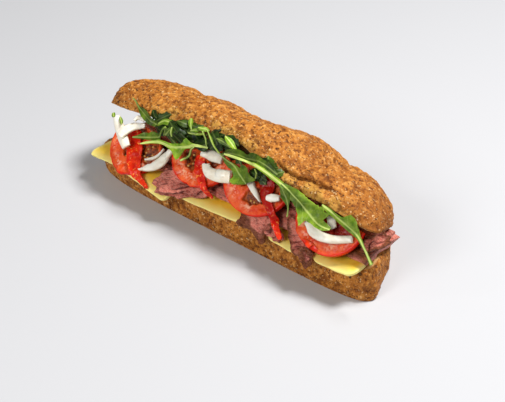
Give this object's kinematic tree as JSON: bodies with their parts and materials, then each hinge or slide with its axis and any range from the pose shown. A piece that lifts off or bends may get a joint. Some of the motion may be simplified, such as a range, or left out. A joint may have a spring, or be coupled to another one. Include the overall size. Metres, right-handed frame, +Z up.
{
  "type": "submarine sandwich",
  "caption": "Long wholemeal sandwich roll cut open along one side, filled with cheese, folded roast beef, tomato half rounds, roasted pepper, onion and rocket.",
  "frame": {"origin": "the middle of the roll's flat underside", "axes": "+X along the roll towards its right end as seen from the open side, -Y towards the open front, +Z up"},
  "size_m": [0.2436, 0.0866, 0.0793],
  "materials": {
    "crust": "wholemeal bread crust with bran flecks, dull",
    "cheese": "sliced cheese, soft sheen",
    "beef": "pink roast beef with browned edges, moist",
    "tomato": "wet cut tomato",
    "pepper": "roasted red pepper, oily",
    "onion": "raw white onion, smooth",
    "rocket": "fresh rocket leaf, soft sheen"
  },
  "bodies": {
    "root": {"beef_1": "beef", "beef_2": "beef", "beef_3": "beef", "beef_4": "beef", "beef_fold_1": "beef", "beef_fold_2": "beef", "beef_fold_3": "beef", "bread_base": "crust", "bread_lid": "crust", "cheese_1": "cheese", "cheese_2": "cheese", "cheese_3": "cheese", "cheese_4": "cheese", "cheese_5": "cheese", "onion_branch": "onion", "onion_curl": "onion", "onion_large": "onion", "onion_left": "onion", "onion_long": "onion", "onion_middle": "onion", "onion_pale": "onion", "onion_small_1": "onion", "onion_small_2": "onion", "onion_thin": "onion", "pepper_1": "pepper", "pepper_2": "pepper", "pepper_3": "pepper", "rocket_1": "rocket", "rocket_10": "rocket", "rocket_11": "rocket", "rocket_12": "rocket", "rocket_2": "rocket", "rocket_3": "rocket", "rocket_4": "rocket", "rocket_5": "rocket", "rocket_6": "rocket", "rocket_7": "rocket", "rocket_8": "rocket", "rocket_9": "rocket", "tomato_1": "tomato", "tomato_2": "tomato", "tomato_3": "tomato", "tomato_4": "tomato"}
  },
  "joints": []
}
